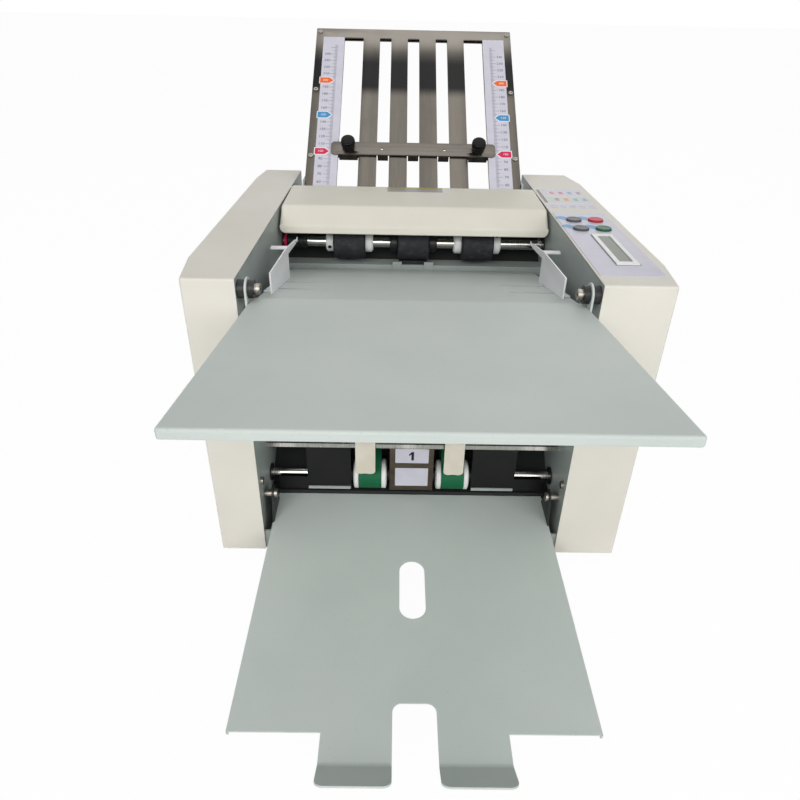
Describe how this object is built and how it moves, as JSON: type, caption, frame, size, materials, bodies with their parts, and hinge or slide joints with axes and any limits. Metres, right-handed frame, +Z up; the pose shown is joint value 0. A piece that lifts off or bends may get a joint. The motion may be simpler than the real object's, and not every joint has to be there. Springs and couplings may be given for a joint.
{
  "type": "paper folding machine",
  "caption": "Desk paper folding machine with a sloping feed tray, slotted upper and lower fold plates, control panel and front output tray.",
  "frame": {"origin": "centre of the machine outline, on the table under its rubber feet", "axes": "+X to the operator's right, +Y from the operator towards the rear, +Z up"},
  "size_m": [0.3596, 0.6754, 0.4003],
  "materials": {
    "cover_paint": "fine satin enamel",
    "tray_paint": "smooth semi-gloss enamel",
    "frame_paint": "satin enamel",
    "stainless": "brushed",
    "roller_steel": "ground, with moulded gears",
    "bright_steel": "polished",
    "black_rubber": "matte",
    "black_plastic": "moulded satin",
    "white_plastic": "moulded",
    "cream_plastic": "moulded",
    "belt_green": "satin belt with a fine weave",
    "belt_black": "matte",
    "motor_paint": "black enamel",
    "label_metal": "dark bronze",
    "membrane": "printed overlay",
    "display_glass": "clear window",
    "board": "circuit board",
    "supply_case": "plain",
    "button_grey": "moulded",
    "button_red": "moulded",
    "button_green": "moulded"
  },
  "bodies": {
    "body": {"base_pan": "frame_paint", "left_frame": "frame_paint", "right_frame": "frame_paint", "left_cover": "cover_paint", "right_cover": "cover_paint", "rear_panel": "frame_paint", "front_panel": "tray_paint", "rubber_feet": "black_rubber", "cross_rods": "bright_steel", "shaft_bushes": "cream_plastic", "screws": "bright_steel", "hinge_pins": "bright_steel", "tray_spacers": "black_plastic", "separator_bar": "frame_paint", "separator_pad": "black_rubber", "infeed_guide": "stainless", "exit_chute": "stainless", "label_plate": "label_metal", "exit_panels": "black_plastic", "green_belts": "belt_green", "drive_belts": "belt_black", "drive_motor": "motor_paint", "control_board": "board", "control_membrane": "membrane", "display_bezel": "white_plastic", "display_glass": "display_glass", "power_supply": "supply_case", "power_inlet": "black_plastic", "plate_brackets": "frame_paint", "upper_fold_plate": "stainless", "plate_scales": "white_plastic", "lower_fold_plate": "stainless"},
    "hood": {"hood": "cover_paint"},
    "feed_tray": {"feed_tray": "tray_paint"},
    "feed_table": {"feed_table": "tray_paint"},
    "left_side_guide": {"left_side_guide": "stainless"},
    "right_side_guide": {"right_side_guide": "stainless"},
    "feed_roller": {"feed_shaft": "bright_steel", "feed_rollers": "black_rubber", "feed_collars": "white_plastic"},
    "fold_roller_1": {"fold_roller_1": "roller_steel"},
    "fold_roller_2": {"fold_roller_2": "roller_steel"},
    "fold_roller_3": {"fold_roller_3": "roller_steel"},
    "fold_roller_4": {"fold_roller_4": "roller_steel"},
    "front_belt_shaft": {"front_belt_shaft": "bright_steel", "front_pulleys": "white_plastic"},
    "rear_belt_shaft": {"rear_belt_shaft": "roller_steel"},
    "motor_pulley": {"motor_pulley": "roller_steel"},
    "press_arms": {"press_arms": "cream_plastic"},
    "output_tray": {"output_tray": "tray_paint"},
    "upper_stop_bar": {"upper_stop_bar": "stainless"},
    "upper_left_knob": {"upper_left_knob": "black_plastic"},
    "upper_right_knob": {"upper_right_knob": "black_plastic"},
    "lower_stop_bar": {"lower_stop_bar": "stainless"},
    "lower_stop_knob": {"lower_stop_knob": "black_plastic"},
    "button_grey_rear": {"button_grey_rear": "button_grey"},
    "button_red": {"button_red": "button_red"},
    "button_grey_front": {"button_grey_front": "button_grey"},
    "button_green": {"button_green": "button_green"},
    "power_rocker": {"power_rocker": "black_plastic"}
  },
  "joints": [
    {"name": "hood_hinge", "type": "hinge", "parent": "body", "child": "hood", "pos_m": [-0.00675, 0.1599, 0.25], "axis": [-1, 0, 0], "range_deg": [0, 60]},
    {"name": "feed_tray_fold", "type": "hinge", "parent": "body", "child": "feed_tray", "pos_m": [-0.00675, -0.1121, 0.25], "axis": [-1, 0, 0], "range_deg": [0, 80]},
    {"name": "feed_table_lift", "type": "hinge", "parent": "body", "child": "feed_table", "pos_m": [-0.00675, -0.0981, 0.229], "axis": [1, 0, 0], "range_deg": [0, 2.6]},
    {"name": "left_guide_slide", "type": "slide", "parent": "feed_table", "child": "left_side_guide", "axis": [1, 0, 0], "range_m": [0, 0.038]},
    {"name": "right_guide_slide", "type": "slide", "parent": "feed_table", "child": "right_side_guide", "axis": [-1, 0, 0], "range_m": [0, 0.038]},
    {"name": "main_roller_spin", "type": "hinge", "parent": "body", "child": "fold_roller_2", "pos_m": [-0.00675, 0.12713, 0.22765], "axis": [1, 0, 0], "continuous": true},
    {"name": "feed_spin", "type": "hinge", "parent": "body", "child": "feed_roller", "pos_m": [-0.00675, 0.0802, 0.225], "axis": [1, 0, 0], "continuous": true},
    {"name": "upper_roller_spin", "type": "hinge", "parent": "body", "child": "fold_roller_1", "pos_m": [-0.00675, 0.11383, 0.24517], "axis": [1, 0, 0], "continuous": true},
    {"name": "rear_roller_spin", "type": "hinge", "parent": "body", "child": "fold_roller_3", "pos_m": [-0.00675, 0.1478, 0.23517], "axis": [1, 0, 0], "continuous": true},
    {"name": "lower_roller_spin", "type": "hinge", "parent": "body", "child": "fold_roller_4", "pos_m": [-0.00675, 0.13282, 0.2064], "axis": [1, 0, 0], "continuous": true},
    {"name": "rear_belt_spin", "type": "hinge", "parent": "body", "child": "rear_belt_shaft", "pos_m": [-0.00675, 0.0849, 0.175], "axis": [1, 0, 0], "continuous": true},
    {"name": "front_belt_spin", "type": "hinge", "parent": "body", "child": "front_belt_shaft", "pos_m": [-0.00675, -0.0701, 0.057], "axis": [1, 0, 0], "continuous": true},
    {"name": "motor_spin", "type": "hinge", "parent": "body", "child": "motor_pulley", "pos_m": [-0.00675, 0.1119, 0.062], "axis": [1, 0, 0], "continuous": true},
    {"name": "press_arm_swing", "type": "hinge", "parent": "body", "child": "press_arms", "pos_m": [-0.00675, -0.0801, 0.104], "axis": [-1, 0, 0], "range_deg": [0, 30]},
    {"name": "output_tray_tilt", "type": "hinge", "parent": "body", "child": "output_tray", "pos_m": [-0.00675, -0.1041, 0.06], "axis": [-1, 0, 0], "range_deg": [0, 50]},
    {"name": "upper_stop_slide", "type": "slide", "parent": "body", "child": "upper_stop_bar", "axis": [0, 0.7965, 0.6046], "range_m": [-0.022, 0.145]},
    {"name": "upper_left_knob_turn", "type": "hinge", "parent": "upper_stop_bar", "child": "upper_left_knob", "pos_m": [-0.0761, 0.19096, 0.29117], "axis": [0, -0.6046, 0.7965], "range_deg": [0, 360]},
    {"name": "upper_right_knob_turn", "type": "hinge", "parent": "upper_stop_bar", "child": "upper_right_knob", "pos_m": [0.0626, 0.19096, 0.29117], "axis": [0, -0.6046, 0.7965], "range_deg": [0, 360]},
    {"name": "lower_stop_slide", "type": "slide", "parent": "body", "child": "lower_stop_bar", "axis": [0, 0.5299, -0.848], "range_m": [-0.07, 0.035]},
    {"name": "lower_stop_knob_turn", "type": "hinge", "parent": "lower_stop_bar", "child": "lower_stop_knob", "pos_m": [-0.00675, 0.20688, 0.11793], "axis": [0, 0.848, 0.5299], "range_deg": [0, 360]},
    {"name": "button_grey_rear_press", "type": "slide", "parent": "body", "child": "button_grey_rear", "axis": [0, 0, -1], "range_m": [0, 0.0012], "stiffness_N_per_m": 250},
    {"name": "button_red_press", "type": "slide", "parent": "body", "child": "button_red", "axis": [0, 0, -1], "range_m": [0, 0.0012], "stiffness_N_per_m": 250},
    {"name": "button_grey_front_press", "type": "slide", "parent": "body", "child": "button_grey_front", "axis": [0, 0, -1], "range_m": [0, 0.0012], "stiffness_N_per_m": 250},
    {"name": "button_green_press", "type": "slide", "parent": "body", "child": "button_green", "axis": [0, 0, -1], "range_m": [0, 0.0012], "stiffness_N_per_m": 250},
    {"name": "power_rocker_tilt", "type": "hinge", "parent": "body", "child": "power_rocker", "pos_m": [-0.15625, 0.2274, 0.104], "axis": [1, 0, 0], "range_deg": [-20, 0]}
  ],
  "couplings": [
    {"joint": "feed_spin", "follows": "main_roller_spin", "ratio": -0.51613},
    {"joint": "upper_roller_spin", "follows": "main_roller_spin", "ratio": -1.2},
    {"joint": "rear_roller_spin", "follows": "main_roller_spin", "ratio": -1.2},
    {"joint": "lower_roller_spin", "follows": "main_roller_spin", "ratio": -1.2},
    {"joint": "rear_belt_spin", "follows": "main_roller_spin", "ratio": 1},
    {"joint": "front_belt_spin", "follows": "main_roller_spin", "ratio": 1},
    {"joint": "motor_spin", "follows": "main_roller_spin", "ratio": 2}
  ]
}
